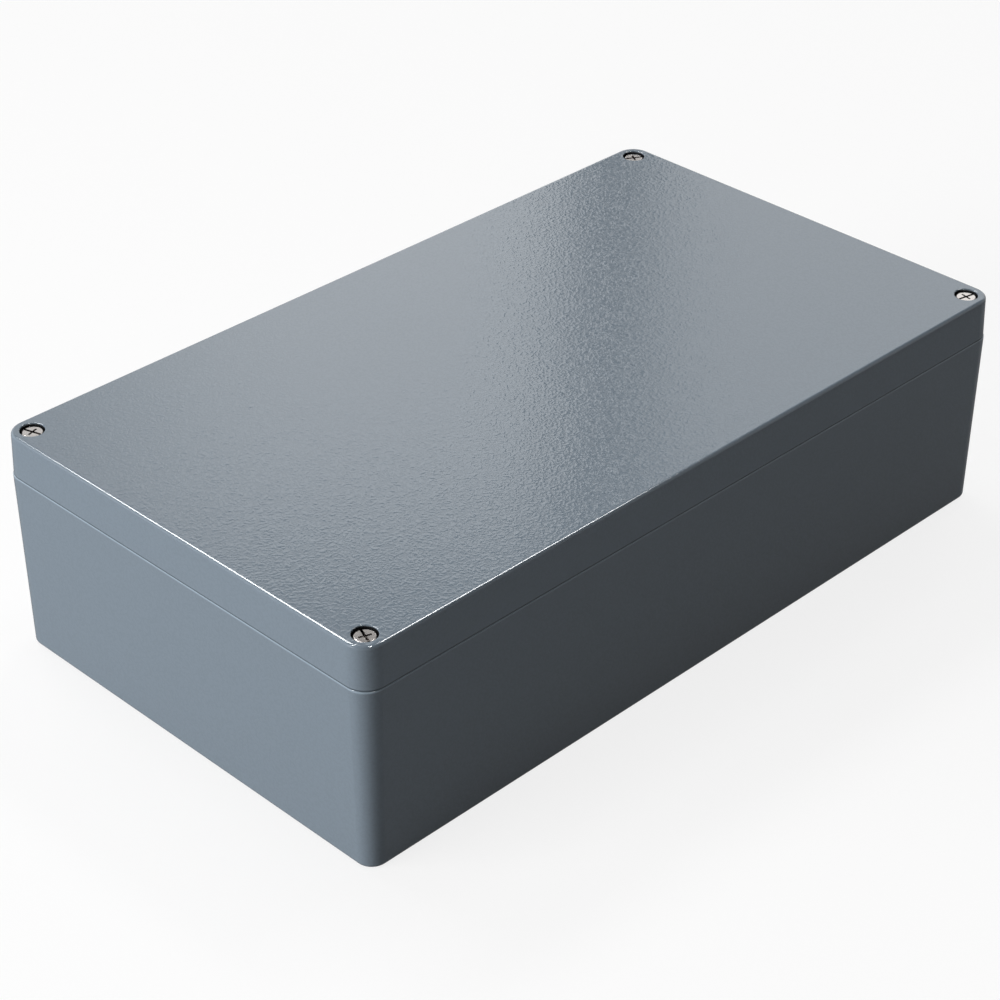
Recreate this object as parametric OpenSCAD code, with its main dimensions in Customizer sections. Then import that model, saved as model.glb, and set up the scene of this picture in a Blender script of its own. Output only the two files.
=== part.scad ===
// Die cast aluminium enclosure: a drafted base and a skirted lid held down by four captive corner
// screws. The corners lie outside the seal, so the lid screws and the wall fixing wells stay clear of
// the dry room inside. Origin at the middle of the underside, +X along the length, +Z up.

/* [Case] */
// Outer length of the lid at the parting plane
case_l = 400; // [300:1:520]
// Outer width of the lid at the parting plane
case_w = 230; // [190:1:320]
// Height of the base, from the underside to the parting plane
base_h = 89.4; // [60:0.1:140]
// Height of the lid, from the parting plane to its top
lid_h = 20.6; // [19:0.1:30]
// Radius of the lid's upright corners at the parting plane
corner_r = 10.4; // [9:0.1:14]
// How much tighter the base's upright corners are, so that they stand slightly proud of the lid's
corner_step = 1; // [0.1:0.1:1.5]
// Overhang of the lid past the base on every straight side
lid_overhang = 0.08; // [0.05:0.01:0.5]
// Draft of the base's walls in degrees, inside and outside
base_draft = 1; // [0.5:0.1:1.5]
// Draft of the lid's skirt in degrees, inside and outside
lid_draft = 2; // [1:0.1:3]

/* [Walls and edges] */
// Thickness of the base's walls at the parting plane
base_wall = 5; // [4.6:0.1:6]
// Thickness of the base's floor
floor_t = 4; // [3:0.1:6]
// Thickness of the lid's plate
plate_t = 4; // [3:0.1:5]
// Rounding of the base's bottom edge
foot_r = 2; // [1:0.1:3]
// Rounding of the base's outer rim edge at the parting plane
rim_r = 0.5; // [0.2:0.1:0.8]
// Rounding of the lid's lower outer edge
lip_r = 0.35; // [0.15:0.05:0.6]
// Rounding of the lid's top edge
top_r = 1.5; // [1:0.1:2.5]
// Fillet between the base's floor and its inner walls
floor_fillet = 3; // [2:0.1:4]
// Fillet between the lid's plate and its inner walls
plate_fillet = 2; // [1:0.1:2.5]
// Radius of the dry room's inner corners at the parting plane
room_r = 7; // [6:0.1:8]
// Radius of the corner blocks' outer corners at the parting plane
block_r = 5; // [4:0.1:6]

/* [Seal] */
// Width of the base's sealing tongue
tongue_w = 1.6; // [1.2:0.1:2]
// Height of the sealing tongue above the parting plane
tongue_h = 2; // [1:0.1:3]
// Side clearance between the tongue and the lid's groove
groove_gap = 0.6; // [0.3:0.1:0.8]
// Depth of the lid's gasket groove
groove_d = 4.9; // [4:0.1:6]
// Thickness of the wall inside the gasket groove
groove_wall = 1.8; // [1.2:0.1:2.5]

/* [Corner blocks] */
// Distance of the lid screws from both outer faces
screw_inset = 10; // [9.5:0.1:14]
// Distance of the wall fixing holes from the long outer faces
well_inset = 34; // [30:0.5:44]
// Diameter of the wells that take the wall screws
well_d = 11; // [10:0.1:11.5]
// Diameter of the wall fixing holes, for M6
wall_hole_d = 6.6; // [5:0.1:8]
// Thickness of metal between the wells and the dry room
block_wall = 4.5; // [3.5:0.1:7]
// Length of the cored pocket in the lid over each well
pocket_l = 20; // [14:0.5:22]

/* [Lid screws] */
// Nominal diameter of the screws, M5
screw_d = 5; // [4:0.1:5.2]
// Diameter of the screws' heads
head_d = 9.5; // [8.5:0.1:10]
// Height of the screws' heads
head_h = 3.7; // [3:0.1:4]
// Rounding of the heads' top edge
head_r = 0.6; // [0.3:0.1:1]
// Diameter of the waisted neck
neck_d = 4.2; // [3.4:0.1:4.4]
// Chamfer at the screws' tips
tip_chamfer = 0.8; // [0.4:0.1:1.2]
// Width of the driver slot
slot_w = 1.2; // [0.8:0.1:1.6]
// Depth of the driver slot
slot_depth = 1.6; // [1:0.1:2]
// Span of the cross recess
cross_span = 5.6; // [4:0.1:6.5]
// Width of the cross recess's wings
cross_w = 1; // [0.7:0.1:1.4]
// Depth of the cross recess's wings
cross_depth = 2; // [1.2:0.1:2.4]
// Depth of the cross recess's point
point_depth = 2.6; // [1.6:0.1:2.8]
// Diameter of the cross recess's point at the top of the head
point_d = 1.7; // [1.4:0.1:2.4]
// Directions of the slots in degrees: front left, front right, back left, back right
slot_turns = [69, 168, 107, 150];
// Radial clearance of a screw in its threaded bore
thread_gap = 0.05; // [0.02:0.01:0.1]
// Depth of a bore below the tip of its screw
bore_spare = 2; // [1:0.1:4]

/* [Lid screw seats] */
// Diameter of the counterbores in the lid's top
counterbore_d = 11; // [10.4:0.1:12]
// Depth of the counterbores
counterbore_depth = 4.8; // [4.2:0.1:5.5]
// Rounding of the counterbores' mouths
mouth_r = 0.4; // [0.2:0.1:0.8]
// Diameter of the clearance holes for the screws
screw_hole_d = 5.6; // [5.3:0.1:6.5]
// Thickness of the web under the heads
web_t = 2.6; // [2:0.1:3.4]
// Diameter of the tunnels that the retaining rings rise in
tunnel_d = 9; // [8.8:0.1:10]
// Outer diameter of the retaining rings
ring_d = 8.4; // [7:0.1:8.6]
// Thickness of the retaining rings
ring_t = 1.5; // [1:0.1:2]
// Chamfer on the retaining rings' outer edges
ring_chamfer = 0.3; // [0.1:0.05:0.4]
// Radial clearance of the retaining rings on the necks
ring_gap = 0.05; // [0.02:0.01:0.1]
// Height of the resting rings above the parting plane
ring_rest = 0.7; // [0.3:0.1:1.5]

/* [Fixing bosses] */
// Top diameter of the bosses on the floor
boss_d = 12; // [9:0.1:16]
// Height of the bosses above the floor
boss_h = 7; // [5:0.1:12]
// Diameter of their blind bores, tapping size of M6
boss_bore_d = 5; // [3:0.1:6]
// Depth of their blind bores
boss_bore_depth = 9; // [6:0.1:9.5]
// Distance of the outer bosses from the short outer faces
boss_inset_x = 50; // [40:1:70]
// Distance of the bosses from the long outer faces
boss_inset_y = 40; // [30:1:60]
// Draft of the bosses in degrees
boss_draft = 3; // [1:0.5:5]

/* [Lid ribs] */
// Thickness of the ribs under the plate at their tips
rib_t = 2.4; // [1.6:0.1:4]
// Height of the ribs
rib_h = 4; // [2:0.1:6]
// Number of ribs across the lid
rib_count = 3; // [1:1:5]

/* [Earth terminals] */
// Nominal diameter of the earth screws, M6
earth_d = 6; // [5:0.1:6.2]
// Length of the earth screws under their heads
earth_l = 12; // [11:0.5:13]
// Diameter of the earth screws' heads
earth_head_d = 10; // [9:0.1:11]
// Height of the earth screws' heads
earth_head_h = 3.9; // [3:0.1:4.5]
// Width of the earth screws' slots
earth_slot_w = 1.6; // [1:0.1:2]
// Diameter of the earth bosses' faces
earth_boss_d = 12; // [10:0.1:14]
// Height of the earth bosses
earth_boss_h = 8; // [7:0.1:9]
// Distance of the earth bosses from the short outer faces
earth_inset_x = 90; // [80:1:110]
// Distance of the earth bosses from the long outer faces
earth_inset_y = 26; // [22:0.5:40]
// Thickness of the clamp yokes
yoke_t = 1.5; // [1:0.1:2]
// Width of the clamp yokes
yoke_w = 12; // [8:0.1:14]
// Length of the yokes' ears past their plates
yoke_ear = 3.5; // [2:0.1:5]
// Inner bend radius of the yokes
yoke_bend = 0.5; // [0.3:0.1:1]
// Clearance of the yokes' ears from the bosses
yoke_gap = 0.6; // [0.5:0.1:1.5]
// Outer diameter of the plain washers
washer_d = 12; // [11:0.1:13]
// Thickness of the plain washers
washer_t = 1.6; // [1:0.1:2]
// Outer diameter of the split lock washers
lock_d = 11; // [9.5:0.1:12]
// Thickness of the lock washers
lock_t = 1.6; // [1:0.1:2]
// Gap in the lock washers
lock_split = 0.8; // [0.4:0.1:1.5]
// Radial clearance of the washers and yokes round the earth screws
washer_gap = 0.2; // [0.1:0.05:0.4]

/* [Hidden] */

$fn = 48;
fillet_steps = 6;
// overlap that a cut needs past a face
cut = 1;

// outer sizes of the base at the parting plane
base_l = case_l - 2 * lid_overhang;
base_w = case_w - 2 * lid_overhang;
base_corner_r = corner_r - lid_overhang - corner_step;
case_h = base_h + lid_h;

// the corner blocks, measured from the lid's outer faces
block_x = screw_inset + well_d / 2 + block_wall;
block_y = well_inset + well_d / 2 + block_wall;

// half sizes of the dry room's two crossed blocks at the parting plane: the long one ends at the
// short walls and the wide one at the long walls
long_x = base_l / 2 - base_wall;
long_y = case_w / 2 - block_y;
wide_x = case_l / 2 - block_x;
wide_y = base_w / 2 - base_wall;

// the seal, measured outwards from the dry room's outline
groove_out = tongue_w + groove_gap;
groove_in = -groove_gap;
hollow_in = groove_in - groove_wall;
gasket_h = groove_d - tongue_h;

// heights in the lid screw joint
head_seat_z = case_h - counterbore_depth;
web_z = head_seat_z - web_t;
ring_z = base_h + ring_rest;
travel = web_z - ring_z - ring_t;
tip_z = base_h - travel;

// places of what repeats, for the corner at +X +Y
screw_at = [case_l / 2 - screw_inset, case_w / 2 - screw_inset];
well_at = [case_l / 2 - screw_inset, case_w / 2 - well_inset];
boss_at = [case_l / 2 - boss_inset_x, case_w / 2 - boss_inset_y];
earth_at = [case_l / 2 - earth_inset_x, case_w / 2 - earth_inset_y];
left = -1;
right = 1;
front = -1;
back = 1;

// the earth stacks, measured from their bosses' faces
yoke_inside = earth_boss_d + 2 * yoke_gap;
washer_seat = yoke_t;
lock_seat = washer_seat + washer_t;
earth_head_seat = lock_seat + lock_t;
earth_bore_depth = earth_l - earth_head_seat + bore_spare;

grey = "lightslategray";
steel = "silver";
zinc = "khaki";
rubber = "dimgray";
nylon = "ivory";

// what rounding takes off an edge: all past the fillet's circle, between the normals of the end
// face (up) and of the wall, which leans by the draft
module edge_cut(r, draft) difference() {
    polygon([[0, 0], 2 * r * [cos(draft), sin(draft)], [2 * r, 2 * r], [0, 2 * r]]);
    circle(r);
}

// half of a drafted wall's section: x runs from the corner's axis to the face, y away from the
// parting plane. r is the face's distance on the plane; near and far round its two edges.
module wall_section(r, h, draft, near, far) {
    end = r - h * tan(draft);
    difference() {
        polygon([[0, 0], [r, 0], [end, h], [0, h]]);
        if (near > 0) translate([r - near * tan(45 + draft / 2), near]) mirror([0, 1]) edge_cut(near, -draft);
        if (far > 0) translate([end - far * tan(45 - draft / 2), h - far]) edge_cut(far, draft);
    }
}

// a straight run of wall along +Y or +X, and an upright corner; both are placed at the corner's axis
module run_y(l) rotate([90, 0, 180]) mirror([1, 0, 0]) linear_extrude(l) children();
module run_x(l) rotate([90, 0, 90]) linear_extrude(l) children();
module round_corner() rotate_extrude(angle = 90) children();

module four_ways() for (mx = [0, 1], my = [0, 1]) mirror([mx, 0, 0]) mirror([0, my, 0]) children();

// a rounded block standing on the parting plane, its walls leaning inwards by the draft
module drafted_block(l, w, r, h, draft, near, far) {
    x = l / 2 - r;
    y = w / 2 - r;
    translate([-x, -y, 0]) cube([2 * x, 2 * y, h]);
    for (side = [0, 1]) {
        mirror([side, 0, 0]) translate([x, -y, 0]) run_y(2 * y) wall_section(r, h, draft, near, far);
        mirror([0, side, 0]) translate([-x, y, 0]) run_x(2 * x) wall_section(r, h, draft, near, far);
    }
    four_ways() translate([x, y, 0]) round_corner() wall_section(r, h, draft, near, far);
}

// half section of the dry room's side at a corner's axis, with a fillet at the far end. lean is -1
// where the room lies round the axis, so that r shrinks with the draft, and 1 round a corner block's
// edge, where it grows.
module room_section(r, h, draft, fillet, lean) {
    end = r + lean * h * tan(draft);
    x = end + lean * fillet * tan(45 - draft / 2);
    fillet_points = [for (i = [0:fillet_steps]) let (a = draft + (90 - draft) * i / fillet_steps)
        [x - lean * fillet * cos(a), h + fillet * (sin(a) - 1)]];
    polygon(concat([[0, 0], [r, 0]], fillet > 0 ? fillet_points : [[end, h]], [[0, h]]));
}

// the dry room's space, moved outwards by d: two crossed blocks that leave out the corner blocks
module room(d, h, draft = 0, fillet = 0) {
    post = [wide_x + block_r, long_y + block_r];
    reach = room_r + block_r;
    for (arm = [[long_x - room_r, long_y - room_r], [wide_x - room_r, wide_y - room_r]]) {
        translate([-arm.x, -arm.y, 0]) cube([2 * arm.x, 2 * arm.y, h]);
        four_ways() translate(arm) round_corner() room_section(room_r + d, h, draft, fillet, -1);
    }
    for (side = [0, 1]) {
        mirror([side, 0, 0]) translate([long_x - room_r, room_r - long_y, 0])
            run_y(2 * (long_y - room_r)) room_section(room_r + d, h, draft, fillet, -1);
        mirror([0, side, 0]) translate([room_r - wide_x, wide_y - room_r, 0])
            run_x(2 * (wide_x - room_r)) room_section(room_r + d, h, draft, fillet, -1);
    }
    four_ways() {
        translate([post.x, long_y - room_r, 0]) run_x(long_x - room_r - post.x)
            room_section(room_r + d, h, draft, fillet, -1);
        translate([wide_x - room_r, post.y, 0]) run_y(wide_y - room_r - post.y)
            room_section(room_r + d, h, draft, fillet, -1);
        translate(post) difference() {
            translate([-reach, -reach, 0]) cube([reach, reach, h]);
            rotate_extrude() room_section(block_r - d, h, draft, fillet, 1);
        }
    }
}

// a band along the seal, between two distances from the dry room's outline
module seal_band(inner, outer, h) difference() {
    room(outer, h);
    translate([0, 0, -cut]) room(inner, h + 2 * cut);
}

module on_parting() translate([0, 0, base_h]) children();
module below_parting() on_parting() mirror([0, 0, 1]) children();
module at_corners(at) for (sx = [-1, 1], sy = [-1, 1]) translate([sx * at.x, sy * at.y]) children();
module at_bosses() for (sx = [-1, 0, 1], sy = [-1, 1]) translate([sx * boss_at.x, sy * boss_at.y]) children();

// a drafted round boss whose face has the diameter d, rooted in the metal that carries it
module boss(d, h) translate([0, 0, -cut])
    cylinder(h + cut, d1 = d + 2 * (h + cut) * tan(boss_draft), d2 = d);

module base_casting() color(grey) difference() {
    union() {
        difference() {
            below_parting() drafted_block(base_l, base_w, base_corner_r, base_h, base_draft, rim_r, foot_r);
            below_parting() room(0, base_h - floor_t, base_draft, floor_fillet);
        }
        on_parting() seal_band(0, tongue_w, tongue_h);
        translate([0, 0, floor_t]) {
            at_bosses() boss(boss_d, boss_h);
            translate(earth_at) boss(earth_boss_d, earth_boss_h);
        }
    }
    at_corners(screw_at) translate([0, 0, tip_z - bore_spare])
        cylinder(base_h - tip_z + bore_spare + cut, d = screw_d + 2 * thread_gap);
    at_corners(well_at) {
        translate([0, 0, floor_t]) cylinder(base_h, d = well_d);
        translate([0, 0, -cut]) cylinder(floor_t + 2 * cut, d = wall_hole_d);
    }
    at_bosses() translate([0, 0, floor_t + boss_h - boss_bore_depth])
        cylinder(boss_bore_depth + cut, d = boss_bore_d);
    at_earth_base() translate([0, 0, -earth_bore_depth])
        cylinder(earth_bore_depth + cut, d = earth_d + 2 * thread_gap);
}

// a rib hanging from the plate, of length l along X, thicker at its root, which lies in the plate
module lid_rib(l) translate([-l / 2, 0, 0]) rotate([90, 0, 90]) linear_extrude(l) {
    root = rib_h + cut;
    x = rib_t / 2 + root * tan(lid_draft);
    polygon([[-rib_t / 2, 0], [rib_t / 2, 0], [x, root], [-x, root]]);
}

module lid_ribs() translate([0, 0, case_h - plate_t - rib_h]) {
    lid_rib(2 * (long_x - groove_gap));
    for (i = [1:rib_count]) translate([(2 * i / (rib_count + 1) - 1) * wide_x, 0, 0])
        rotate([0, 0, 90]) lid_rib(2 * (wide_y - groove_gap));
}

// the cored pocket over a well, opening downwards
module lid_pocket() {
    y = pocket_l - well_d;
    linear_extrude(lid_h - plate_t) {
        circle(d = well_d);
        translate([0, y]) circle(d = well_d);
        translate([-well_d / 2, 0]) square([well_d, y]);
    }
}

module lid_casting() color(grey) difference() {
    union() {
        difference() {
            on_parting() drafted_block(case_l, case_w, corner_r, lid_h, lid_draft, lip_r, top_r);
            on_parting() room(hollow_in, lid_h - plate_t, lid_draft, plate_fillet);
        }
        lid_ribs();
        translate([earth_at.x, -earth_at.y, case_h - plate_t]) mirror([0, 0, 1])
            boss(earth_boss_d, earth_boss_h);
    }
    on_parting() seal_band(groove_in, groove_out, groove_d);
    on_parting() at_corners(screw_at) {
        translate([0, 0, -cut]) cylinder(web_z - base_h + cut, d = tunnel_d);
        cylinder(lid_h, d = screw_hole_d);
        translate([0, 0, head_seat_z - base_h]) cylinder(counterbore_depth + cut, d = counterbore_d);
        translate([0, 0, lid_h - mouth_r]) rotate_extrude() translate([counterbore_d / 2 + mouth_r, 0])
            mirror([1, 0]) edge_cut(mouth_r, 0);
    }
    four_ways() translate([well_at.x, well_at.y, base_h]) lid_pocket();
    at_earth_lid() translate([0, 0, -earth_bore_depth])
        cylinder(earth_bore_depth + cut, d = earth_d + 2 * thread_gap);
}

module lid_gasket() color(rubber) translate([0, 0, base_h + tongue_h])
    seal_band(groove_in, groove_out, gasket_h);

// half section of a captive screw, from its tip to the top of its head
module screw_section() {
    head_top = head_seat_z + head_h;
    polygon([[0, tip_z], [screw_d / 2 - tip_chamfer, tip_z], [screw_d / 2, tip_z + tip_chamfer],
        [screw_d / 2, ring_z], [neck_d / 2, ring_z], [neck_d / 2, head_seat_z], [head_d / 2, head_seat_z],
        [head_d / 2, head_top - head_r], [head_d / 2 - head_r, head_top], [0, head_top]]);
    translate([head_d / 2 - head_r, head_top - head_r]) circle(head_r);
}

// one slot across the head, and a cross recess whose point runs deeper
module driver_recess() translate([0, 0, head_seat_z + head_h]) {
    translate([-head_d, -slot_w / 2, -slot_depth]) cube([2 * head_d, slot_w, slot_depth + cut]);
    for (turn = [0, 90]) rotate([0, 0, turn]) translate([-cross_span / 2, -cross_w / 2, -cross_depth])
        cube([cross_span, cross_w, cross_depth + cut]);
    translate([0, 0, -point_depth]) rotate_extrude() polygon([[0, 0], [cross_w / 4, 0],
        [point_d / 2, point_depth], [point_d / 2, point_depth + cut], [0, point_depth + cut]]);
}

module lid_screw(x, y, turn) color(steel) translate([x * screw_at.x, y * screw_at.y]) rotate([0, 0, turn])
    difference() {
        rotate_extrude() screw_section();
        driver_recess();
    }

module ring_section() {
    inner = neck_d / 2 + ring_gap;
    outer = ring_d / 2;
    polygon([[inner, 0], [outer - ring_chamfer, 0], [outer, ring_chamfer], [outer, ring_t - ring_chamfer],
        [outer - ring_chamfer, ring_t], [inner, ring_t]]);
}

module retaining_ring(x, y) color(nylon) translate([x * screw_at.x, y * screw_at.y, ring_z])
    rotate_extrude() ring_section();

// the faces of the earth bosses, with +Z away from the metal
module at_earth_base() translate([earth_at.x, earth_at.y, floor_t + earth_boss_h]) children();
module at_earth_lid() translate([earth_at.x, -earth_at.y, case_h - plate_t - earth_boss_h])
    rotate([180, 0, 0]) children();

module earth_screw() color(zinc) difference() {
    translate([0, 0, earth_head_seat]) union() {
        translate([0, 0, -earth_l]) cylinder(earth_l + cut, d = earth_d);
        cylinder(earth_head_h, d = earth_head_d);
    }
    translate([-earth_head_d, -earth_slot_w / 2, earth_head_seat + earth_head_h / 2])
        cube([2 * earth_head_d, earth_slot_w, earth_head_h]);
}

module earth_lock_washer() color(steel) translate([0, 0, lock_seat]) difference() {
    cylinder(lock_t, d = lock_d);
    translate([0, 0, -cut]) cylinder(lock_t + 2 * cut, d = earth_d + 2 * washer_gap);
    translate([0, -lock_split / 2, -cut]) cube([lock_d, lock_split, lock_t + 2 * cut]);
}

module earth_washer() color(zinc) translate([0, 0, washer_seat]) difference() {
    cylinder(washer_t, d = washer_d);
    translate([0, 0, -cut]) cylinder(washer_t + 2 * cut, d = earth_d + 2 * washer_gap);
}

// a plate across the boss's face with an ear folded down on each side of the boss
module yoke_section() {
    x = yoke_inside / 2;
    bend = yoke_bend + yoke_t;
    difference() {
        union() {
            translate([-x - yoke_t, -yoke_ear]) square([2 * (x + yoke_t), yoke_ear + yoke_t - bend]);
            translate([-x - yoke_t + bend, -yoke_ear]) square([2 * (x + yoke_t - bend), yoke_ear + yoke_t]);
            for (s = [-1, 1]) translate([s * (x + yoke_t - bend), yoke_t - bend]) circle(bend);
        }
        translate([-x, -yoke_ear - cut]) square([2 * x, yoke_ear + cut - yoke_bend]);
        translate([-x + yoke_bend, -yoke_ear - cut]) square([2 * (x - yoke_bend), yoke_ear + cut]);
        for (s = [-1, 1]) translate([s * (x - yoke_bend), -yoke_bend]) circle(yoke_bend);
    }
}

module earth_yoke() color(zinc) difference() {
    translate([0, yoke_w / 2, 0]) rotate([90, 0, 0]) linear_extrude(yoke_w) yoke_section();
    translate([0, 0, -cut]) cylinder(yoke_t + 2 * cut, d = earth_d + 2 * washer_gap);
}

base_casting();
lid_casting();
lid_gasket();
lid_screw(left, front, slot_turns[0]);  // lid_screw_front_left
lid_screw(right, front, slot_turns[1]);  // lid_screw_front_right
lid_screw(left, back, slot_turns[2]);  // lid_screw_back_left
lid_screw(right, back, slot_turns[3]);  // lid_screw_back_right
retaining_ring(left, front);  // retaining_ring_front_left
retaining_ring(right, front);  // retaining_ring_front_right
retaining_ring(left, back);  // retaining_ring_back_left
retaining_ring(right, back);  // retaining_ring_back_right
at_earth_base() earth_screw();  // earth_screw_base
at_earth_base() earth_lock_washer();  // earth_lock_washer_base
at_earth_base() earth_washer();  // earth_washer_base
at_earth_base() earth_yoke();  // earth_yoke_base
at_earth_lid() earth_screw();  // earth_screw_lid
at_earth_lid() earth_lock_washer();  // earth_lock_washer_lid
at_earth_lid() earth_washer();  // earth_washer_lid
at_earth_lid() earth_yoke();  // earth_yoke_lid
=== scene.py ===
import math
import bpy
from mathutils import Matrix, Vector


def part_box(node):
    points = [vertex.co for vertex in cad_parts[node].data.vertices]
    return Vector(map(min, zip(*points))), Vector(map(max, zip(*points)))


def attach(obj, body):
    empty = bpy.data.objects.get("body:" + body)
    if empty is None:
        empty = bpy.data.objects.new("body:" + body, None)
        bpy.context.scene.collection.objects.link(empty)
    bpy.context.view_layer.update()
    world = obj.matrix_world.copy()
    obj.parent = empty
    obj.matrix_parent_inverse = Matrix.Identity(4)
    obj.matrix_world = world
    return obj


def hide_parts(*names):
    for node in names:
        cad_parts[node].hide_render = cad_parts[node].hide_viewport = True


bl_info = {
    "name": "Die Cast Enclosure",
    "version": (1, 0, 0),
    "blender": (4, 5, 0),
    "location": "3D View > Sidebar > Enclosure",
    "description": "Coats the castings, cuts the screws' threads and sets up the studio",
    "category": "Object",
}

import bmesh
import bpy
from mathutils import Matrix, Vector

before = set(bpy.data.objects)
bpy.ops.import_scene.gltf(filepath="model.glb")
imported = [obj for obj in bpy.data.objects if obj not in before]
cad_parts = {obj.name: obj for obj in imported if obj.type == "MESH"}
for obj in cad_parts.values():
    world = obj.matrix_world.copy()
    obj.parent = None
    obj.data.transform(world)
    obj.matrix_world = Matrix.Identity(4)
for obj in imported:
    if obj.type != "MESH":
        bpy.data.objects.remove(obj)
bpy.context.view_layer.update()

CORNERS = ("front_left", "front_right", "back_left", "back_right")

# castings, in metres: their outline in plan, the lid's top round, and the heights of the bare dry room
HALF_LENGTH = 0.2
HALF_WIDTH = 0.115
CORNER_RADIUS = 0.0104
TOP_ROUND = 0.0015
BASE_ROOM = (0.0035, 0.2)
LID_ROOM = (0.0, 0.107)

# where the masks of the castings run from 0 to 1, in metres: a REACH is in plan from the nearest lid screw, a
# DEPTH lies under the outline, a HEIGHT lies over the top edge, and JOINT_OFF lies off the parting line
BORE_REACH = (0.0060, 0.0056)
BORE_HEIGHT = (0.0012, 0.0008)
BORE_FLOOR_HEIGHT = (-0.0080, -0.0075)
QUIET_DEPTH = (0.0024, 0.0016)
QUIET_HEIGHT = (-0.0005, 0.0005)
BARE_DEPTH = (0.0035, 0.0045)
ROOM_BLEND = 0.0005
JOINT_OFF = (0.0010, 0.0004)
JOINT_DEPTH = (0.0015, 0.0010)

# the coat: the levels of the noise at which a crease of the grain begins and is full, and the height of the grain
# for one level; the size of the patches, how much of them shows, and the share of the coat's colour in them, in
# the creases, where it is painted shade, and along each casting's joint, where it is a painted highlight on the
# base's rim and painted shade on the lid's lower edge; and the colour of the counterbores, which is painted shade
GRAIN_CREASE = (0.09, 0.01)
GRAIN_RISE = 4.0
COAT_PATCH = 0.05
COAT_PATCH_MIX = 0.25
COAT_PATCH_TONE = 0.93
CREASE_PAINTED_SHADE = 0.5
BASE_JOINT_HIGHLIGHT = 1.6
LID_JOINT_SHADE = 0.4
BORE_PAINTED_SHADE = (0.02, 0.022, 0.024, 1)
COAT_IOR = 1.55

# the bare cast metal: its two tones, its roughness and what its patches add, and the size and height of its sand
CAST_TONES = ((0.50, 0.51, 0.52, 1), (0.62, 0.63, 0.64, 1))
CAST_ROUGHNESS = 0.42
CAST_PATCH_ROUGHNESS = 0.12
CAST_SAND = 0.0006
CAST_SAND_RISE = 0.2

# turned metals: roughness and the depth of the marks; then the size of the stains and of the marks, the share of
# the colour in the stains and what roughness they add, and the same for the rim of a lid screw's head, which is
# rougher and darkened as painted shade
STAINLESS = (0.1, 0.0000003)
ZINC_PLATE = (0.35, 0.00002)
SPRING_STEEL = (0.3, 0.00001)
STAIN = 0.004
STAIN_MIX = 0.4
STAIN_TONE = 0.8
STAIN_ROUGHNESS = 0.08
MARK = 0.0004
LID_HEAD_RIM = 0.0043
RIM_BLEND = 0.0002
RIM_PAINTED_SHADE = 0.3
RIM_ROUGHNESS = 0.4

# moulded pieces: colour, roughness, and the size and depth of the pores; then what their patches and pores do
GASKET_FOAM = ((0.012, 0.012, 0.014), 0.7, 0.0005, 0.00005)
RING_NYLON = ((0.7, 0.68, 0.6), 0.35, 0.0008, 0.00001)
MOULD_PATCH = 0.01
MOULD_PATCH_TONE = 0.82
PORE_ROUGHNESS = 0.1

# meshes: corners closer than JOIN_WITHIN are one, faces within FLAT_WITHIN degrees are one, edges up to
# SMOOTH_UNDER degrees shade smooth, those over SOFTEN_OVER degrees are softened
JOIN_WITHIN = 2e-7
FLAT_WITHIN = 0.3
LEVEL = 0.99999
SMOOTH_UNDER = 35
SOFTEN_OVER = 50

# threads, in metres: the radius of the core and of the ridge, and the pitch; where the lid screws' ridge starts
# over the tip, how long an earth screw is under its head and how much of it the clamped parts take; the shares of
# the pitch at which a ridge's four corners lie, how deep its foot is in the core, and the steps in a turn
LID_THREAD = (0.00205, 0.00248, 0.0008)
LID_THREAD_START = 0.00035
EARTH_THREAD = (0.00245, 0.00298, 0.001)
EARTH_LENGTH = 0.012
EARTH_STACK = 0.0048
RIDGE = (0.06, 0.44, 0.56, 0.94)
THREAD_FOOT = 0.00005
THREAD_STEPS = 32
THREAD_ENDS = 1e-6

# widths of the softened edges, in metres
SOFT_GASKET = 0.0005
SOFT_WASHER = 0.00015
SOFT_YOKE = 0.0002
SOFT_EARTH_SCREW = 0.00025

# camera, lamps and floor: places and distances in metres, angles in degrees; a lamp's direction as seen from
# the object, its distance and its size
CAMERA_PLACE = (-0.72942, -0.71651, 0.69918)
CAMERA_TURN = 45.03
CAMERA_TILT = 56.992
KEY_LAMP = (Vector((-0.93, 0.3, 0.2)), 2.2, 1.4)
FILL_LAMP = (Vector((0.25, -1, 0.1)), 3.0, 2.0)
FLOOR_HALF = 6
FLOOR_UNSEEN = (0.3, 0.3, 0.3, 1)
FLOOR_SEEN = (0.9, 0.9, 0.9, 1)
FLOOR_GLOW = 0.22
FLOOR_SHARE = 0.82
WHITE = (1, 1, 1, 1)

# the two long softboxes behind the object, in degrees: azimuths and heights from 0 to full and from full to 0,
# the dark gap between them, their brightest part, where the left one passes into the right one, the heights at
# which mirrored rays lose the white horizon, and the shares of the full level
LONG_SPAN = (-100, -85, 85, 100)
LONG_RISE = (0, 6, 33.7, 35.9)
GAP = (1.35, 2.05, 3.15, 4.0)
BRIGHT_PART = (-14, -5, 30, 50)
CHANGE_OVER = (2.4, 3.0)
HORIZON = (10, 6)
GAP_SHARE = 0.95
OUTER_SHARE = 0.4
LEFT_SHARE = 0.84
RIGHT_SHARE = 0.64

# the room's smaller softboxes: azimuths and heights as above, and the share of their brightness that lights a
# surface and that shows in a mirrored ray
SOFTBOXES = (
    ((-60, -57, -12, -9), (43.5, 45.5, 54.5, 56), 1.0, 1.0),
    ((11, 14, 52, 56), (50, 51.5, 57.5, 59), 1.0, 1.0),
    ((-106, -102, -90, -86), (54, 55.5, 61.5, 63), 1.0, 3.5),
    ((80, 88, 132, 140), (73, 74.5, 80.5, 82), 1.0, 3.5),
    ((-136, -131, -104, -99), (0, 5, 24, 29), 0.0, 0.12),
)


# node trees

def connect(links, node, tree):
    """Sets a node's inputs: links another socket, or writes a constant."""
    for key, value in dict(links).items():
        if isinstance(value, bpy.types.NodeSocket):
            tree.links.new(value, node.inputs[key])
        else:
            node.inputs[key].default_value = value


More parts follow.
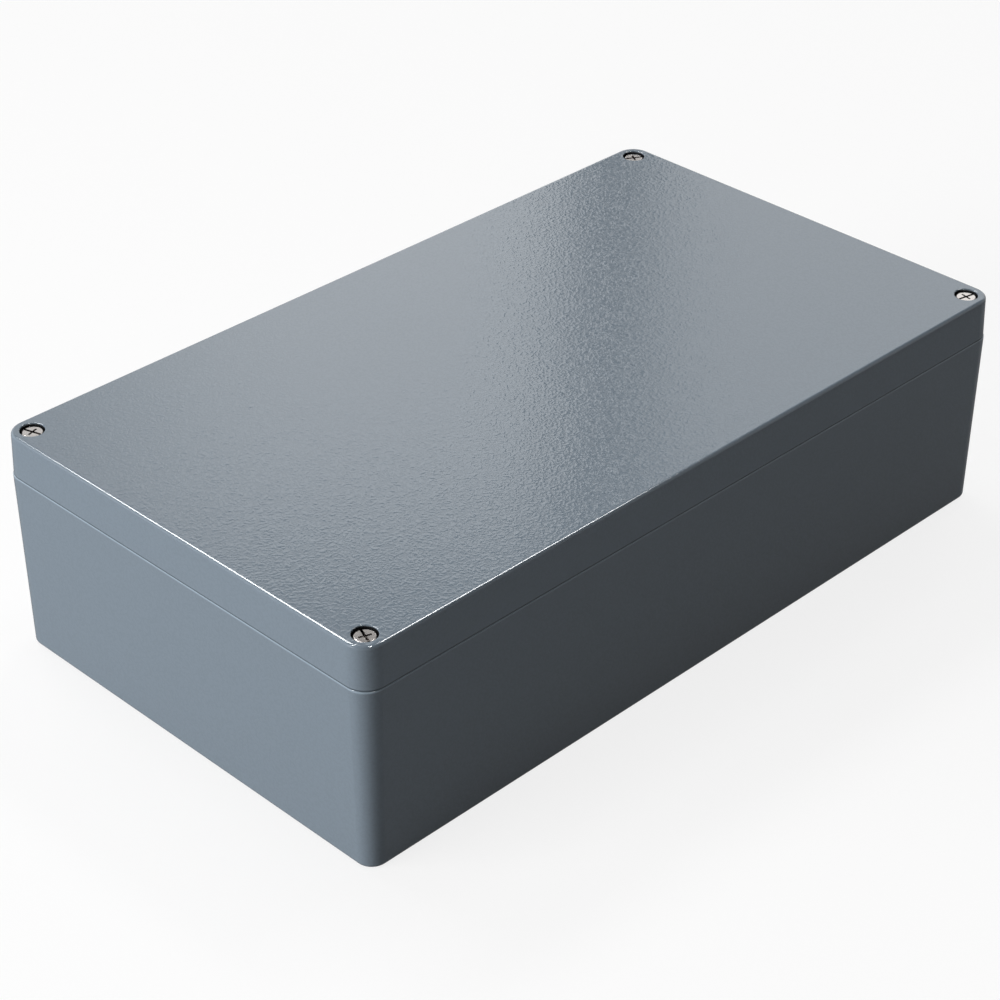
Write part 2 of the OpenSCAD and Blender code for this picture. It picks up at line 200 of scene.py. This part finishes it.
def add(tree, kind, links=(), **settings):
    """Adds a node, sets its properties and sets or links its inputs."""
    node = tree.nodes.new(kind)
    for name, value in settings.items():
        setattr(node, name, value)
    connect(links, node, tree)
    return node


def math_node(tree, operation, *values):
    """The result of a Math node on numbers or sockets."""
    return add(tree, "ShaderNodeMath", dict(enumerate(values)), operation=operation).outputs[0]


def product(tree, *values):
    """The product of any number of values, two at a time from the left."""
    whole = values[0]
    for value in values[1:]:
        whole = math_node(tree, "MULTIPLY", whole, value)
    return whole


def rest_of(tree, value):
    """What value leaves of 1."""
    return math_node(tree, "SUBTRACT", 1.0, value)


def vector_node(tree, operation, *values, out=0):
    """An output of a Vector Math node: 0 is the vector and 1 the number."""
    return add(tree, "ShaderNodeVectorMath", dict(enumerate(values)), operation=operation).outputs[out]


def step(tree, value, low, high):
    """Runs smoothly from 0 at low to 1 at high."""
    return add(tree, "ShaderNodeMapRange", {0: value, 1: low, 2: high}, interpolation_type="SMOOTHSTEP").outputs[0]


def box_mask(tree, value, low, low_full, high_full, high):
    """1 between low_full and high_full, running to 0 at low and high."""
    return product(tree, step(tree, value, low, low_full), step(tree, value, high, high_full))


def mix(tree, factor, a, b):
    """The number a where factor is 0 and b where it is 1."""
    return add(tree, "ShaderNodeMix", {0: factor, 2: a, 3: b}).outputs[0]


def mix_colour(tree, factor, a, b):
    """The colour a where factor is 0 and b where it is 1."""
    return add(tree, "ShaderNodeMix", {0: factor, 6: a, 7: b}, data_type="RGBA").outputs[2]


def shade(colour, share=1.0):
    """A colour with its alpha, made darker or lighter by share."""
    return (*[channel * share for channel in colour], 1)


def group(name, inputs, outputs):
    """An empty node group with named inputs (a number, or None for a vector) and named number outputs."""
    tree = bpy.data.node_groups.new(name, "ShaderNodeTree")
    for label, value in inputs.items():
        kind = "NodeSocketVector" if value is None else "NodeSocketFloat"
        item = tree.interface.new_socket(name=label, in_out="INPUT", socket_type=kind)
        if value is not None:
            item.default_value = value
    for label in outputs:
        tree.interface.new_socket(name=label, in_out="OUTPUT", socket_type="NodeSocketFloat")
    return tree, tree.nodes.new("NodeGroupInput").outputs, tree.nodes.new("NodeGroupOutput")


def place(tree, name, links=()):
    """Places a node group in a tree and sets its inputs."""
    node = tree.nodes.new("ShaderNodeGroup")
    node.node_tree = bpy.data.node_groups[name]
    connect(links, node, tree)
    return node.outputs


def build_groups():
    """Makes the pebbled grain of the coat, the soft patches, and the depth under the castings' outline."""
    tree, given, out = group("Leather Grain", {"Position": None, "Wavelength": 0.0024, "Warp": 0.3},
                             ("Height", "Crease"))
    coarse = add(tree, "ShaderNodeTexNoise", {
        "Vector": given["Position"], "Scale": math_node(tree, "DIVIDE", 1.0, given["Wavelength"]),
        "Detail": 1.0, "Roughness": 0.5, "Distortion": given["Warp"]}).outputs["Fac"]
    ridge = math_node(tree, "ABSOLUTE", math_node(tree, "SUBTRACT", coarse, 0.5))
    tree.links.new(step(tree, ridge, *GRAIN_CREASE), out.inputs["Crease"])
    tree.links.new(product(tree, ridge, GRAIN_RISE), out.inputs["Height"])

    tree, given, out = group("Patches", {"Position": None, "Size": 0.03}, ("Value",))
    noise = add(tree, "ShaderNodeTexNoise", {
        "Vector": given["Position"], "Scale": math_node(tree, "DIVIDE", 1.0, given["Size"]),
        "Detail": 3.0, "Roughness": 0.6}).outputs["Fac"]
    tree.links.new(noise, out.inputs["Value"])

    tree, given, out = group("Skin Depth", {"Position": None, "Half Length": HALF_LENGTH,
                                            "Half Width": HALF_WIDTH, "Radius": CORNER_RADIUS}, ("Depth",))
    parts = add(tree, "ShaderNodeSeparateXYZ", {0: vector_node(tree, "ABSOLUTE", given["Position"])}).outputs
    x = math_node(tree, "SUBTRACT", parts[0], math_node(tree, "SUBTRACT", given["Half Length"], given["Radius"]))
    y = math_node(tree, "SUBTRACT", parts[1], math_node(tree, "SUBTRACT", given["Half Width"], given["Radius"]))
    past = add(tree, "ShaderNodeCombineXYZ", {0: math_node(tree, "MAXIMUM", x, 0.0),
                                              1: math_node(tree, "MAXIMUM", y, 0.0)}).outputs[0]
    reach = math_node(tree, "ADD", vector_node(tree, "LENGTH", past, out=1),
                      math_node(tree, "MINIMUM", math_node(tree, "MAXIMUM", x, y), 0.0))
    tree.links.new(math_node(tree, "SUBTRACT", given["Radius"], reach), out.inputs["Depth"])


def new_material(name):
    """A material with an empty node tree."""
    material = bpy.data.materials.new(name)
    material.use_nodes = True
    material.node_tree.nodes.clear()
    return material


def bump(tree, height, distance):
    """The normal over a height map whose full height is distance, in metres."""
    return add(tree, "ShaderNodeBump", {"Strength": 1.0, "Distance": distance, "Height": height}).outputs[0]


def position_of(tree):
    """The point of the surface in the frame's metres."""
    return add(tree, "ShaderNodeTexCoord").outputs["Object"]


def reach_from(tree, place_at, x, y):
    """How far a point is, in plan, from the upright line through x and y in its own quarter."""
    parts = add(tree, "ShaderNodeSeparateXYZ", {0: vector_node(tree, "ABSOLUTE", place_at)}).outputs
    across = add(tree, "ShaderNodeCombineXYZ", {0: math_node(tree, "SUBTRACT", parts[0], x),
                                                1: math_node(tree, "SUBTRACT", parts[1], y)}).outputs[0]
    return vector_node(tree, "LENGTH", across, out=1)


def patches_of(tree, place_at, size):
    """Soft patches about size across, from 0 to 1."""
    return place(tree, "Patches", {"Position": place_at, "Size": size})["Value"]


def coated_casting(name, coat, bare, screw, edge, joint, joint_painted_light):
    """Powder coat outside and bare cast aluminium in the dry room, between the two heights of bare.

    The counterbores round the lid screws, at screw in each quarter, are painted dark as shade, the grain's creases
    are painted a little darker as shade, and the grain fades out on the top edge above the height edge. The last
    argument is how much lighter or darker the coat is painted along the parting line, whose height is joint: a
    painted highlight on the base's rim and painted shade on the lid's lower edge.
    """
    material = new_material(name)
    tree = material.node_tree
    place_at = position_of(tree)
    leather = place(tree, "Leather Grain", {"Position": place_at, "Wavelength": coat.grain_size})
    patches = patches_of(tree, place_at, COAT_PATCH)
    sand = patches_of(tree, place_at, CAST_SAND)
    depth = place(tree, "Skin Depth", {"Position": place_at})["Depth"]
    z = add(tree, "ShaderNodeSeparateXYZ", {0: place_at}).outputs[2]

    above = math_node(tree, "SUBTRACT", z, edge)
    off_joint = math_node(tree, "ABSOLUTE", math_node(tree, "SUBTRACT", z, joint))
    low, high = bare
    bore = product(tree, step(tree, reach_from(tree, place_at, *screw), *BORE_REACH),
                   step(tree, above, *BORE_HEIGHT))
    quiet = product(tree, step(tree, depth, *QUIET_DEPTH), step(tree, above, *QUIET_HEIGHT))
    room = product(tree, step(tree, z, low, low + ROOM_BLEND), step(tree, z, high, high - ROOM_BLEND))
    counterbore = product(tree, bore, step(tree, above, *BORE_FLOOR_HEIGHT))
    inside = product(tree, step(tree, depth, *BARE_DEPTH), room, rest_of(tree, counterbore))
    near_joint = product(tree, step(tree, off_joint, *JOINT_OFF), step(tree, depth, *JOINT_DEPTH))

    tone = mix_colour(tree, product(tree, patches, COAT_PATCH_MIX), shade(coat.colour),
                      shade(coat.colour, COAT_PATCH_TONE))
    # painted shade in the grain's creases
    tone = mix_colour(tree, product(tree, leather["Crease"], coat.crease_painted_shade), tone,
                      shade(coat.colour, CREASE_PAINTED_SHADE))
    # painted light along the parting line: a highlight on the base's rim, shade on the lid's lower edge
    tone = mix_colour(tree, near_joint, tone, shade(coat.colour, joint_painted_light))
    # painted shade in the counterbores round the lid screws
    tone = mix_colour(tree, bore, tone, BORE_PAINTED_SHADE)
    metal_tone = mix_colour(tree, patches, *CAST_TONES)
    height = mix(tree, inside, product(tree, leather["Height"], rest_of(tree, quiet)),
                 product(tree, sand, CAST_SAND_RISE))
    coat_rough = math_node(tree, "ADD", coat.roughness, product(tree, leather["Crease"], coat.crease))
    metal_rough = math_node(tree, "ADD", CAST_ROUGHNESS, product(tree, patches, CAST_PATCH_ROUGHNESS))
    shader = add(tree, "ShaderNodeBsdfPrincipled", {
        "Base Color": mix_colour(tree, inside, tone, metal_tone), "Metallic": inside,
        "Roughness": mix(tree, inside, coat_rough, metal_rough),
        "IOR": COAT_IOR, "Normal": bump(tree, height, coat.grain_depth)})
    add(tree, "ShaderNodeOutputMaterial", {0: shader.outputs[0]})
    return material


def turned_metal(name, colour, roughness, marks, head=None):
    """Machined metal with small stains.

    head is a screw's x and y in each quarter and the radius at which its rim begins, rougher and painted darker
    as shade.
    """
    material = new_material(name)
    tree = material.node_tree
    place_at = position_of(tree)
    stains = patches_of(tree, place_at, STAIN)
    scratches = patches_of(tree, place_at, MARK)
    tone = mix_colour(tree, product(tree, stains, STAIN_MIX), shade(colour), shade(colour, STAIN_TONE))
    rough = math_node(tree, "ADD", roughness, product(tree, stains, STAIN_ROUGHNESS))
    if head:
        x, y, radius = head
        rim = step(tree, reach_from(tree, place_at, x, y), radius - RIM_BLEND, radius + RIM_BLEND)
        # painted shade: the rim of the head is darkened
        tone = mix_colour(tree, rim, tone, shade(colour, RIM_PAINTED_SHADE))
        rough = mix(tree, rim, rough, RIM_ROUGHNESS)
    shader = add(tree, "ShaderNodeBsdfPrincipled", {"Base Color": tone, "Metallic": 1.0, "Roughness": rough,
                                                    "Normal": bump(tree, scratches, marks)})
    add(tree, "ShaderNodeOutputMaterial", {0: shader.outputs[0]})
    return material


def moulded(name, colour, roughness, pore, pore_depth):
    """Rubber or plastic with a fine pore and slight patches."""
    material = new_material(name)
    tree = material.node_tree
    place_at = position_of(tree)
    pores = patches_of(tree, place_at, pore)
    tone = mix_colour(tree, patches_of(tree, place_at, MOULD_PATCH), shade(colour),
                      shade(colour, MOULD_PATCH_TONE))
    rough = math_node(tree, "ADD", roughness, product(tree, pores, PORE_ROUGHNESS))
    shader = add(tree, "ShaderNodeBsdfPrincipled", {"Base Color": tone, "Roughness": rough,
                                                    "Normal": bump(tree, pores, pore_depth)})
    add(tree, "ShaderNodeOutputMaterial", {0: shader.outputs[0]})
    return material


def paint(node, material):
    """Gives a CAD node one material."""
    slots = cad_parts[node].data.materials
    slots.clear()
    slots.append(material)


# meshes

def spot(node):
    """The middle of a CAD node in plan, and its lowest and highest points."""
    low, high = (Vector(corner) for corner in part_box(node))
    return (low.x + high.x) / 2, (low.y + high.y) / 2, low.z, high.z


def copy_of(node, join_flats=True):
    """A CAD node's mesh with its split corners merged and its flat faces joined."""
    bm = bmesh.new()
    bm.from_mesh(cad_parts[node].data)
    bmesh.ops.remove_doubles(bm, verts=bm.verts, dist=JOIN_WITHIN)
    if join_flats:
        bmesh.ops.dissolve_limit(bm, angle_limit=math.radians(FLAT_WITHIN), verts=bm.verts, edges=bm.edges)
    return bm


def pull_in(vert, x, y, limit):
    """Moves a vertex towards the upright line through x and y, to be no further from it than limit."""
    reach = math.hypot(vert.co.x - x, vert.co.y - y)
    if reach > limit:
        vert.co.x = x + (vert.co.x - x) * limit / reach
        vert.co.y = y + (vert.co.y - y) * limit / reach


def cut_thread(bm, x, y, low, high, start, thread):
    """Turns a plain shank down to its thread's core between two heights and winds the ridge on it from start up.

    The ridge is right-handed and runs in and out at 45 degrees.
    """
    core, major, pitch = thread
    for vert in bm.verts:
        if low - THREAD_ENDS < vert.co.z < high + THREAD_ENDS:
            pull_in(vert, x, y, core)
    foot = core - THREAD_FOOT
    profile = zip((foot, major, major, foot), RIDGE)
    shank = set(bm.verts)
    corners = [bm.verts.new((x + reach, y, start + share * pitch)) for reach, share in profile]
    face = bm.faces.new(corners)
    steps = int(((high - start) / pitch - 1) * THREAD_STEPS)
    bmesh.ops.spin(bm, geom=[face, *face.edges, *corners], cent=(x, y, 0), axis=(0, 0, 1),
                   dvec=(0, 0, pitch / THREAD_STEPS), angle=2 * math.pi * steps / THREAD_STEPS, steps=steps)
    for vert in bm.verts:
        if vert not in shank:
            pull_in(vert, x, y, max(foot, core + min(vert.co.z - start, high - vert.co.z)))


def make_piece(bm, name, body, material, replaced, soft=0.0, segments=2):
    """Finishes a mesh as a piece: sharp edges kept or softened, level and flat faces shaded flat."""
    bmesh.ops.recalc_face_normals(bm, faces=bm.faces)
    for face in bm.faces:
        face.smooth = True
    for edge in bm.edges:
        level = [abs(face.normal.z) > LEVEL for face in edge.link_faces]
        shallow = edge.calc_face_angle(0.0) < math.radians(SMOOTH_UNDER)
        edge.smooth = shallow and len(level) == 2 and level[0] == level[1]
    mesh = bpy.data.meshes.new(name)
    bm.to_mesh(mesh)
    bm.free()
    mesh.materials.append(material)
    piece = bpy.data.objects.new(name, mesh)
    bpy.context.scene.collection.objects.link(piece)
    if soft:
        bevel = piece.modifiers.new("soft_edges", "BEVEL")
        bevel.width = soft
        bevel.segments = segments
        bevel.limit_method = "ANGLE"
        bevel.angle_limit = math.radians(SOFTEN_OVER)
    piece.modifiers.new("flat_faces", "WEIGHTED_NORMAL").keep_sharp = True
    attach(piece, body)
    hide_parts(*replaced)
    return piece


# settings

def number(name, about, default, unit="NONE", subtype="NONE", **limits):
    """A number that the panel shows."""
    return bpy.props.FloatProperty(name=name, description=about, default=default, unit=unit, subtype=subtype,
                                   precision=5, **limits)


def colour(name, about, default):
    """A colour that the panel shows."""
    return bpy.props.FloatVectorProperty(name=name, description=about, default=default, subtype="COLOR", size=3,
                                         min=0, max=1)


class CoatSettings(bpy.types.PropertyGroup):
    colour: colour("Colour", "Colour of the powder coat", (0.186, 0.229, 0.272))
    roughness: number("Roughness", "Roughness of the powder coat", 0.06, min=0, max=1)
    grain_size: number("Grain size", "Length of one ripple of the coat's grain", 0.0023, "LENGTH")
    grain_depth: number("Grain depth", "Depth of the coat's grain", 0.000025, "LENGTH")
    crease: number("Creases", "How much rougher the grain's creases are", 0.06, min=0, max=1)
    # painted shade: how much darker the grain's creases are painted
    crease_painted_shade: number("Crease tone", "How much darker the grain's creases are", 0.08, min=0, max=1)


class HardwareSettings(bpy.types.PropertyGroup):
    steel: colour("Stainless", "Colour of the stainless steel", (0.58, 0.55, 0.53))
    zinc: colour("Zinc", "Colour of the zinc plate", (0.6, 0.58, 0.5))


class StudioSettings(bpy.types.PropertyGroup):
    lens: number("Lens", "Focal length of the camera in millimetres", 94.99)
    key: number("Key", "Level that the key lamp gives a surface facing it", 1.33, min=0)
    upper: number("Upper softbox", "Brightness of the softboxes above and behind the object", 9.5, min=0)
    glint: number("Glints", "Brightness of those softboxes in a mirrored ray", 20.0, min=0)
    fill: number("Fill", "Level that the fill lamp gives a surface facing it", 0.02, min=0)
    ambient: number("Ambient", "Brightness of the room", 0.04, min=0)
    backlight: number("Backlight", "Brightness of the long softboxes behind the object", 2.15, min=0)


# operators

class ENCLOSURE_OT_coat(bpy.types.Operator):
    """Powder coats both castings outside and leaves the dry room bare"""
    bl_idname = "enclosure.coat"
    bl_label = "Coat Castings"

    def execute(self, context):
        coat = context.scene.enclosure_coat
        screw = spot("lid_screw_back_right")[:2]
        joint, top = (corner[2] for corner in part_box("lid_casting"))
        paint("base_casting", coated_casting("coat_base", coat, BASE_ROOM, screw, top, joint, BASE_JOINT_HIGHLIGHT))
        paint("lid_casting", coated_casting("coat_lid", coat, LID_ROOM, screw, top - TOP_ROUND, joint,
                                            LID_JOINT_SHADE))
        return {"FINISHED"}


class ENCLOSURE_OT_gasket(bpy.types.Operator):
    """Finishes the lid's gasket"""
    bl_idname = "enclosure.gasket"
    bl_label = "Gasket"

    def execute(self, context):
        foam = moulded("gasket_foam", *GASKET_FOAM)
        make_piece(copy_of("lid_gasket"), "gasket", "lid", foam, ["lid_gasket"], SOFT_GASKET, 3)
        return {"FINISHED"}


class ENCLOSURE_OT_lid_screws(bpy.types.Operator):
    """Finishes the captive lid screws and their rings"""
    bl_idname = "enclosure.lid_screws"
    bl_label = "Lid Screws"

    def execute(self, context):
        x, y = spot("lid_screw_back_right")[:2]
        steel = turned_metal("stainless", context.scene.enclosure_hardware.steel, *STAINLESS, (x, y, LID_HEAD_RIM))
        nylon = moulded("ring_nylon", *RING_NYLON)
        for corner in CORNERS:
            node = "lid_screw_" + corner
            ring = "retaining_ring_" + corner
            x, y, tip, _ = spot(node)
            bm = copy_of(node, join_flats=False)
            cut_thread(bm, x, y, tip, spot(ring)[2], tip + LID_THREAD_START, LID_THREAD)
            make_piece(bm, "captive_screw_" + corner, "screw_" + corner, steel, [node])
            paint(ring, nylon)
        return {"FINISHED"}


class ENCLOSURE_OT_earths(bpy.types.Operator):
    """Finishes both earth terminals"""
    bl_idname = "enclosure.earths"
    bl_label = "Earth Terminals"

    def execute(self, context):
        hardware = context.scene.enclosure_hardware
        zinc = turned_metal("zinc_plate", hardware.zinc, *ZINC_PLATE)
        spring = turned_metal("spring_steel", hardware.steel, *SPRING_STEEL)
        for earth in ("base", "lid"):
            for kind, material, slot, soft in (("washer", zinc, "zinc_plate", SOFT_WASHER),
                                               ("yoke", zinc, "zinc_plate", SOFT_YOKE),
                                               ("lock_washer", spring, "stainless", SOFT_WASHER)):
                node = f"earth_{kind}_{earth}"
                make_piece(copy_of(node), "clamp_" + node, earth, material, [node], soft)
            node = "earth_screw_" + earth
            x, y, low, high = spot(node)
            if earth == "base":
                high = low + EARTH_LENGTH - EARTH_STACK
            else:
                low = high - EARTH_LENGTH + EARTH_STACK
            bm = copy_of(node)
            cut_thread(bm, x, y, low, high, low, EARTH_THREAD)
            make_piece(bm, "clamp_" + node, earth, zinc, [node], SOFT_EARTH_SCREW)
        return {"FINISHED"}


class ENCLOSURE_OT_studio(bpy.types.Operator):
    """Adds the floor, the lamps, the room and the camera"""
    bl_idname = "enclosure.studio"
    bl_label = "Studio"

    def execute(self, context):
        studio = context.scene.enclosure_studio
        build_floor()
        area_lamp("key_lamp", studio.key, *KEY_LAMP)
        area_lamp("fill_lamp", studio.fill, *FILL_LAMP)
        build_room(studio)
        camera = bpy.data.cameras.new("camera")
        camera.lens = studio.lens
        camera.sensor_width = 36
        camera.clip_end = 50
        context.scene.camera = place_in_scene(camera, Matrix.Translation(CAMERA_PLACE)
                                              @ Matrix.Rotation(math.radians(-CAMERA_TURN), 4, "Z")
                                              @ Matrix.Rotation(math.radians(CAMERA_TILT), 4, "X"))
        context.scene.view_settings.view_transform = "Standard"
        return {"FINISHED"}


def place_in_scene(data, matrix):
    """Makes an object of a mesh, a lamp or a camera and puts it in the scene."""
    made = bpy.data.objects.new(data.name, data)
    made.matrix_world = matrix
    bpy.context.scene.collection.objects.link(made)
    return made


def area_lamp(name, level, direction, distance, size):
    """A square lamp that gives a white surface facing it this level, and that no mirror shows."""
    lamp = bpy.data.lights.new(name, "AREA")
    lamp.shape = "SQUARE"
    lamp.size = size
    lamp.energy = level * (math.pi * distance) ** 2
    direction = direction.normalized()
    turn = direction.to_track_quat("Z", "Y").to_matrix().to_4x4()
    made = place_in_scene(lamp, Matrix.Translation(direction * distance) @ turn)
    made.visible_camera = made.visible_glossy = False


def build_floor():
    """A floor that the camera sees almost white, with a soft shadow, and that lights the object little."""
    bm = bmesh.new()
    bmesh.ops.create_grid(bm, x_segments=8, y_segments=8, size=FLOOR_HALF)
    mesh = bpy.data.meshes.new("floor")
    bm.to_mesh(mesh)
    bm.free()
    material = new_material("floor_paper")
    tree = material.node_tree
    rays = add(tree, "ShaderNodeLightPath").outputs
    mirrored = rays["Is Glossy Ray"]
    seen = math_node(tree, "MAXIMUM", rays["Is Camera Ray"], rays["Is Transmission Ray"])
    paper = add(tree, "ShaderNodeBsdfDiffuse", {"Color": mix_colour(tree, seen, FLOOR_UNSEEN, FLOOR_SEEN)})
    glow = add(tree, "ShaderNodeEmission", {"Color": WHITE, "Strength": mix(tree, mirrored, 1.0, FLOOR_GLOW)})
    share = math_node(tree, "MAXIMUM", mirrored, product(tree, rays["Is Camera Ray"], FLOOR_SHARE))
    both = add(tree, "ShaderNodeMixShader", {0: share, 1: paper.outputs[0], 2: glow.outputs[0]})
    add(tree, "ShaderNodeOutputMaterial", {0: both.outputs[0]})
    mesh.materials.append(material)
    place_in_scene(mesh, Matrix())


def build_room(studio):
    """A plain room, brighter behind the object, with a dark gap between its two long softboxes."""
    world = bpy.data.worlds.new("studio_room")
    bpy.context.scene.world = world
    world.use_nodes = True
    tree = world.node_tree
    tree.nodes.clear()
    way = add(tree, "ShaderNodeTexCoord").outputs["Generated"]
    turned = add(tree, "ShaderNodeVectorRotate", {"Vector": way, "Angle": math.radians(CAMERA_TURN)},
                 rotation_type="Z_AXIS").outputs[0]
    parts = add(tree, "ShaderNodeSeparateXYZ", {0: turned}).outputs
    azimuth = math_node(tree, "DEGREES", math_node(tree, "ARCTAN2", parts[0], parts[1]))
    height = math_node(tree, "DEGREES", math_node(tree, "ARCSINE", parts[2]))

    ends = mix(tree, box_mask(tree, azimuth, *BRIGHT_PART), OUTER_SHARE, 1.0)
    sides = mix(tree, step(tree, azimuth, *CHANGE_OVER), LEFT_SHARE, RIGHT_SHARE)
    gap = product(tree, box_mask(tree, azimuth, *GAP), GAP_SHARE)
    panels = product(tree, box_mask(tree, azimuth, *LONG_SPAN), box_mask(tree, height, *LONG_RISE), ends, sides,
                     rest_of(tree, gap))
    lit = glints = 0.0
    for azimuths, heights, lit_share, mirrored_share in SOFTBOXES:
        softbox = product(tree, box_mask(tree, azimuth, *azimuths), box_mask(tree, height, *heights))
        lit = math_node(tree, "ADD", lit, product(tree, softbox, lit_share))
        glints = math_node(tree, "ADD", glints, product(tree, softbox, mirrored_share))

    rays = add(tree, "ShaderNodeLightPath").outputs
    upper = mix(tree, rays["Is Glossy Ray"], product(tree, lit, studio.upper), product(tree, glints, studio.glint))
    level = math_node(tree, "ADD", upper, math_node(tree, "ADD", studio.ambient,
                                                    product(tree, panels, studio.backlight)))
    mirrored = product(tree, math_node(tree, "MAXIMUM", rays["Is Glossy Ray"], rays["Is Transmission Ray"]),
                       step(tree, height, *HORIZON))
    seen = math_node(tree, "MAXIMUM", rays["Is Camera Ray"], mirrored)
    back = add(tree, "ShaderNodeBackground", {"Color": WHITE, "Strength": mix(tree, seen, level, 1.0)})
    add(tree, "ShaderNodeOutputWorld", {0: back.outputs[0]})


class ENCLOSURE_PT_panel(bpy.types.Panel):
    """Lists the settings and the steps that dress the enclosure"""
    bl_label = "Die Cast Enclosure"
    bl_idname = "ENCLOSURE_PT_panel"
    bl_space_type = "VIEW_3D"
    bl_region_type = "UI"
    bl_category = "Enclosure"

    def draw(self, context):
        for title, settings, steps in PANEL:
            box = self.layout.box()
            box.label(text=title)
            values = getattr(context.scene, settings)
            for name in values.__annotations__:
                box.prop(values, name)
            for idname in steps:
                box.operator(idname)


PANEL = (
    ("Coat", "enclosure_coat", ("enclosure.coat",)),
    ("Hardware", "enclosure_hardware", ("enclosure.gasket", "enclosure.lid_screws", "enclosure.earths")),
    ("Studio", "enclosure_studio", ("enclosure.studio",)),
)
SETTINGS = {"enclosure_coat": CoatSettings, "enclosure_hardware": HardwareSettings,
            "enclosure_studio": StudioSettings}
CLASSES = (CoatSettings, HardwareSettings, StudioSettings, ENCLOSURE_OT_coat, ENCLOSURE_OT_gasket,
           ENCLOSURE_OT_lid_screws, ENCLOSURE_OT_earths, ENCLOSURE_OT_studio, ENCLOSURE_PT_panel)


def register():
    for one in CLASSES:
        bpy.utils.register_class(one)
    for name, kind in SETTINGS.items():
        setattr(bpy.types.Scene, name, bpy.props.PointerProperty(type=kind))


def unregister():
    for name in SETTINGS:
        delattr(bpy.types.Scene, name)
    for one in reversed(CLASSES):
        bpy.utils.unregister_class(one)


def main():
    """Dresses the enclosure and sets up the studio."""
    register()
    build_groups()
    bpy.ops.enclosure.coat()
    bpy.ops.enclosure.gasket()
    bpy.ops.enclosure.lid_screws()
    bpy.ops.enclosure.earths()
    bpy.ops.enclosure.studio()


if __name__ == "__main__":
    main()
